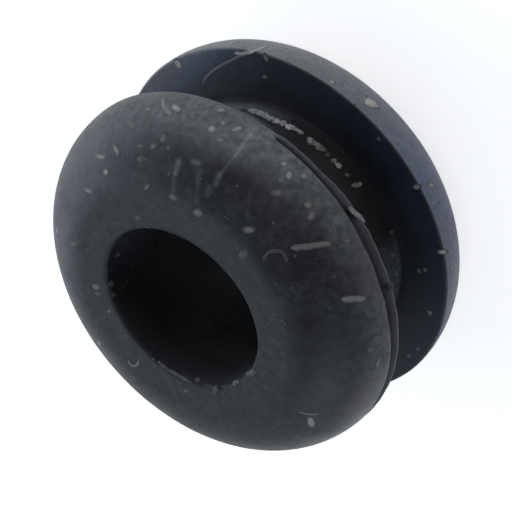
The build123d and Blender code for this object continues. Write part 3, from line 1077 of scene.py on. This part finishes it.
def torn_rubber_material(finish):
    """Torn rubber: the broken face is rough and dusty, so it looks pale grey beside the moulded one."""
    material, tree = new_material("torn rubber flash")
    colour, speckle = speckled_colour(
        tree, finish.crumb_pale, finish.crumb_dark, 0.1 * MM, 0.4,
        {"From Min": 0.0, "From Max": 0.45, "To Min": 0.5})[:2]
    bump = add(tree, "ShaderNodeBump", {"Height": speckle, "Strength": 0.7, "Distance": 0.01 * MM})
    shader = add(tree, "ShaderNodeBsdfPrincipled", {
        "Base Color": colour, "Roughness": 0.8, "IOR": 1.45, "Normal": bump})
    add(tree, "ShaderNodeOutputMaterial", {"Surface": shader})
    return material


def dust_material(name, pale, dark, edge_crown):
    """Settled dust, lint or grit: matt and pale at its crown, thinning to the tone of what it lies on."""
    material, tree = new_material(name)
    colour, speckle, heart = speckled_colour(
        tree, pale, dark, 0.08 * MM, 0.6, {"From Min": edge_crown, "From Max": 0.5})
    matt = add(tree, "ShaderNodeMapRange", {"Value": heart, "To Min": 0.52, "To Max": 0.9})
    bump = add(tree, "ShaderNodeBump", {"Height": speckle, "Strength": 0.5, "Distance": 0.01 * MM})
    shader = add(tree, "ShaderNodeBsdfPrincipled", {
        "Base Color": colour, "Roughness": matt, "IOR": 1.5, "Normal": bump})
    add(tree, "ShaderNodeOutputMaterial", {"Surface": shader})
    return material


def carried(piece):
    """Lets a finished piece go with the part."""
    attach(piece, BODY)


def set_lumps(name, lumps, material, sight, spread, height_share, sink, unevenness):
    """Sets a lump on the rubber under each given pixel, sunk by a share of its half height."""
    points = []
    uprights = []
    directions = []
    sizes = []
    bulks = []
    paleness = []
    for across, down, long, wide, turn, pale in lumps:
        point, normal = sight.meet(across, down)
        height = min(long, wide) * height_share * PIXEL
        along = sight.on_surface(turn, point, normal)
        aside = sight.on_surface(turn + 90, point, normal)
        lengthened = min(along.length, FORESHORTENING)
        widened = min(along.cross(aside).length / along.length, FORESHORTENING)
        points.append(point - normal * height / 2 * sink)
        uprights.append(normal)
        directions.append(along)
        sizes.append((long * lengthened * PIXEL * spread, wide * widened * PIXEL * spread, height))
        bulks.append(min(long, wide) * PIXEL)
        paleness.append(pale)
    piece = new_piece(
        name, points, upright=uprights, along=directions, size=sizes, bulk=bulks, paleness=paleness)
    nodes_made_real(piece, lumps_tree(material), {"Detail": LUMP_DETAIL, "Unevenness": unevenness})
    carried(piece)


def smooth_path(pixels):
    """Pixels along a smooth line through the given ones."""
    knots = [Vector(pixel) for pixel in pixels]
    line = []
    for place, (start, end) in enumerate(zip(knots, knots[1:])):
        before = knots[max(place - 1, 0)]
        after = knots[min(place + 2, len(knots) - 1)]
        lead = start + (end - before) / 6
        trail = end - (after - start) / 6
        line += interpolate_bezier(start, lead, trail, end, PATH_STEPS)[:-1]
    return line + [knots[-1]]


def lay_strands(name, strands, material, sight, flatness, sink, unevenness):
    """Lays a strand on the rubber along each line of pixels, thinner at its ends and sunk a little."""
    points = []
    edges = []
    uprights = []
    thickness = []
    paleness = []
    for pixels, thick, pale in strands:
        line = smooth_path(pixels)
        for place, pixel in enumerate(line):
            if place:
                edges.append((len(points) - 1, len(points)))
            point, normal = sight.meet(*pixel)
            from_end = min(place, len(line) - 1 - place)
            thick_here = thick * min(1.0, END_THICKNESS + END_GROWTH * from_end)
            points.append(point - normal * thick_here * flatness / 2 * sink)
            uprights.append(normal)
            thickness.append(thick_here)
            paleness.append(pale)
    piece = new_piece(name, points, edges, upright=uprights, thickness=thickness, paleness=paleness)
    nodes_made_real(piece, strands_tree(material), {
        "Sides": STRAND_SIDES, "Flatness": flatness, "Unevenness": unevenness})
    carried(piece)


class GROMMET_OT_moulded_ring(bpy.types.Operator):
    """Turns the section about the bore and stands for the solid"""
    bl_idname = "grommet.moulded_ring"
    bl_label = "Moulded ring"

    def execute(self, context):
        ring = context.scene.grommet_ring
        corners = section_corners(ring)
        radii, heights, rounds = zip(*corners)
        points = [(radius - HUB_RADIUS, height, 0.0) for radius, height in zip(radii, heights)]
        edges = [(place, (place + 1) % len(corners)) for place in range(len(corners))]
        quarter = math.pi / 2
        steps = [max(FEWEST_STEPS, rounding * quarter / ring.spacing) for rounding in rounds]
        piece = new_piece(RING, points, edges, rounding=rounds, steps=steps)
        material = rubber_material(ring, context.scene.grommet_finish)
        values = {socket_name(size): getattr(ring, size) for size in RING_SIZES}
        values.update({
            "Segments": ring.segments, "Path radius": HUB_RADIUS,
            "Rim place": (FLANGE_RADIUS - HUB_RADIUS, ring.mould_line_height - FINE_BELOW_LINE, 0.0),
            "Mouth place": (BORE_RADIUS - HUB_RADIUS, TOP, 0.0),
            "Mould line middle": level_direction(ring.mould_line_start - ring.mould_line_turn / 2),
            "Mould line reach": ring.mould_line_turn / 2,
            "Torn side": level_direction(ring.torn_side),
            "Stretch side": level_direction(ring.stretch_side)})
        nodes_made_real(piece, ring_tree(material), values)
        add_marks(material, Sightlines(context.scene.grommet_view))
        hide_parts(NODE)
        carried(piece)
        return {"FINISHED"}


class GROMMET_OT_torn_flash(bpy.types.Operator):
    """Adds the crumbs and strips of rubber that tore as the ring left its mould"""
    bl_idname = "grommet.torn_flash"
    bl_label = "Torn flash"

    def execute(self, context):
        finish = context.scene.grommet_finish
        sight = Sightlines(context.scene.grommet_view)
        material = torn_rubber_material(finish)
        set_lumps(
            "torn_crumbs", TORN_CRUMBS, material, sight,
            spread=1.15, height_share=0.7, sink=0.4, unevenness=0.8)
        lay_strands("torn_strips", TORN_STRIPS, material, sight, flatness=0.7, sink=0.4, unevenness=0.9)
        thin = dust_material("thin rubber flash", finish.thread_pale, finish.thread_dark, edge_crown=0.1)
        lay_strands(
            "flash_threads", FLASH_THREADS, thin, sight, flatness=0.25, sink=0.3, unevenness=0.15)
        return {"FINISHED"}


class GROMMET_OT_dust_grains(bpy.types.Operator):
    """Sets the larger dust grains and one of grit on the rubber, where the photograph shows them"""
    bl_idname = "grommet.dust_grains"
    bl_label = "Dust grains"

    def execute(self, context):
        finish = context.scene.grommet_finish
        sight = Sightlines(context.scene.grommet_view)
        sunk = 0.6
        dust = dust_material(
            "settled grey dust", finish.grain_pale, finish.grain_dark, edge_crown=sunk / 2)
        set_lumps(
            "dust_grains", GRAINS, dust, sight, spread=1.3, height_share=0.2, sink=sunk, unevenness=0.15)
        grit = dust_material("tan sand grit", finish.grit_pale, finish.grit_dark, edge_crown=0.0)
        set_lumps(
            "grit_grain", GRIT, grit, sight, spread=1.0, height_share=0.5, sink=0.2, unevenness=0.7)
        return {"FINISHED"}


class GROMMET_OT_dust_fall(bpy.types.Operator):
    """Scatters fine dust over both flanges"""
    bl_idname = "grommet.dust_fall"
    bl_label = "Dust fall"

    def execute(self, context):
        finish = context.scene.grommet_finish
        piece = new_piece("dust_fall", [(0.0, 0.0, 0.0)])
        material = dust_material("fine grey dust", finish.fine_pale, finish.fine_dark, edge_crown=0.3)
        nodes_made_real(piece, dust_fall_tree(material), {
            "Ring": bpy.data.objects[RING], "Density": finish.fine_density / MM ** 2,
            "Seed": DUST_SEED, "Smallest": finish.fine_smallest, "Largest": finish.fine_largest})
        carried(piece)
        return {"FINISHED"}


class GROMMET_OT_lint(bpy.types.Operator):
    """Lays short fibres on the rubber, where the photograph shows them"""
    bl_idname = "grommet.lint"
    bl_label = "Lint"

    def execute(self, context):
        finish = context.scene.grommet_finish
        sight = Sightlines(context.scene.grommet_view)
        material = dust_material("pale cotton lint", finish.lint_pale, finish.lint_dark, edge_crown=0.15)
        lay_strands("lint_fibres", FIBRES, material, sight, flatness=0.25, sink=0.3, unevenness=0.3)
        return {"FINISHED"}


def hang_lamp(name, around, height, radiance, colour):
    """Hangs a round soft lamp that faces the part."""
    lamp = bpy.data.lights.new(name, "AREA")
    lamp.shape = "DISK"
    lamp.size = LAMP_WIDTH
    lamp.energy = radiance * math.pi * math.pi * (LAMP_WIDTH / 2) ** 2
    lamp.color = linear(colour)[:3]
    holder = bpy.data.objects.new(name, lamp)
    bpy.context.scene.collection.objects.link(holder)
    swung = Matrix.Rotation(math.radians(around + 90), 4, "Z")
    raised = Matrix.Rotation(math.radians(90 - height), 4, "X")
    holder.matrix_world = swung @ raised @ Matrix.Translation((0.0, 0.0, LAMP_DISTANCE))


def lay_floor():
    """Lays a plain white floor that shows near white to the camera and keeps a soft shadow."""
    half = FLOOR_WIDTH / 2
    corners = [(-half, -half, -TOP), (half, -half, -TOP), (half, half, -TOP), (-half, half, -TOP)]
    floor = new_piece("floor", corners, faces=[(0, 1, 2, 3)])
    material, tree = new_material("white paper floor")
    paper = add(tree, "ShaderNodeBsdfDiffuse", {"Color": linear("#f4f4f4")})
    path = add(tree, "ShaderNodeLightPath").outputs
    mirrored = add(
        tree, "ShaderNodeMath", {0: path["Is Glossy Ray"], 1: path["Is Transmission Ray"]},
        operation="MAXIMUM")
    mirrored_lift = add(tree, "ShaderNodeMath", {0: mirrored, 1: MIRRORED_LIFT}, operation="MULTIPLY")
    seen_lift = add(
        tree, "ShaderNodeMath", {0: path["Is Camera Ray"], 1: SEEN_LIFT, 2: mirrored_lift},
        operation="MULTIPLY_ADD")

    # The floor under the part stays dark, so the bore does too
    at = BorePlace(tree, add(tree, "ShaderNodeTexCoord").outputs["Object"])
    uncovered = add(tree, "ShaderNodeMapRange", {
        "Value": at.radius, "From Min": HUB_RADIUS - 0.6 * MM, "From Max": HUB_RADIUS})
    lift = add(tree, "ShaderNodeMath", {0: seen_lift, 1: uncovered}, operation="MULTIPLY")
    bright = add(tree, "ShaderNodeEmission", {"Color": linear("#ffffff"), "Strength": lift})
    lifted = add(tree, "ShaderNodeAddShader", {0: paper, 1: bright})
    add(tree, "ShaderNodeOutputMaterial", {"Surface": lifted})
    floor.data.materials.append(material)


def surround(scene):
    """Surrounds the part with a dim room that looks white to the camera."""
    world = bpy.data.worlds.new("dim room")
    scene.world = world
    world.use_nodes = True
    tree = world.node_tree
    tree.nodes.clear()
    seen = add(tree, "ShaderNodeLightPath").outputs["Is Camera Ray"]
    level = add(tree, "ShaderNodeMapRange", {"Value": seen, "To Min": ROOM_LEVEL, "To Max": 1.0})
    background = add(tree, "ShaderNodeBackground", {"Color": linear("#ffffff"), "Strength": level})
    add(tree, "ShaderNodeOutputWorld", {"Surface": background})


def set_camera(scene, view):
    """Sets the camera where the photograph was taken from."""
    camera = bpy.data.cameras.new("camera")
    camera.lens = view.lens
    camera.sensor_width = SENSOR
    camera.clip_start = 1 * MM
    camera.clip_end = 10.0
    holder = bpy.data.objects.new("camera", camera)
    scene.collection.objects.link(holder)
    holder.matrix_world = camera_matrix(view)
    scene.camera = holder


class GROMMET_OT_stage(bpy.types.Operator):
    """Lays the floor and sets the lamps, the surroundings and the camera"""
    bl_idname = "grommet.stage"
    bl_label = "Stage"

    def execute(self, context):
        scene = context.scene
        scene.view_settings.view_transform = "Standard"
        lay_floor()
        surround(scene)
        for lamp in LAMPS:
            hang_lamp(*lamp)
        set_camera(scene, scene.grommet_view)
        return {"FINISHED"}


class GROMMET_PT_panel(bpy.types.Panel):
    """Lists the pieces of the grommet"""
    bl_idname = "GROMMET_PT_panel"
    bl_label = "Grommet"
    bl_space_type = "VIEW_3D"
    bl_region_type = "UI"
    bl_category = "Grommet"

    def draw(self, context):
        for operator in OPERATORS:
            self.layout.operator(operator.bl_idname)


OPERATORS = (
    GROMMET_OT_moulded_ring, GROMMET_OT_torn_flash, GROMMET_OT_dust_grains, GROMMET_OT_dust_fall,
    GROMMET_OT_lint, GROMMET_OT_stage)
CLASSES = (GrommetRing, GrommetFinish, GrommetView, *OPERATORS, GROMMET_PT_panel)


def register():
    for kind in CLASSES:
        bpy.utils.register_class(kind)
    bpy.types.Scene.grommet_ring = bpy.props.PointerProperty(type=GrommetRing)
    bpy.types.Scene.grommet_finish = bpy.props.PointerProperty(type=GrommetFinish)
    bpy.types.Scene.grommet_view = bpy.props.PointerProperty(type=GrommetView)


def unregister():
    del bpy.types.Scene.grommet_view
    del bpy.types.Scene.grommet_finish
    del bpy.types.Scene.grommet_ring
    for kind in reversed(CLASSES):
        bpy.utils.unregister_class(kind)


def main():
    register()
    bpy.ops.grommet.moulded_ring()
    bpy.ops.grommet.torn_flash()
    bpy.ops.grommet.dust_grains()
    bpy.ops.grommet.dust_fall()
    bpy.ops.grommet.lint()
    bpy.ops.grommet.stage()


if __name__ == "__main__":
    main()
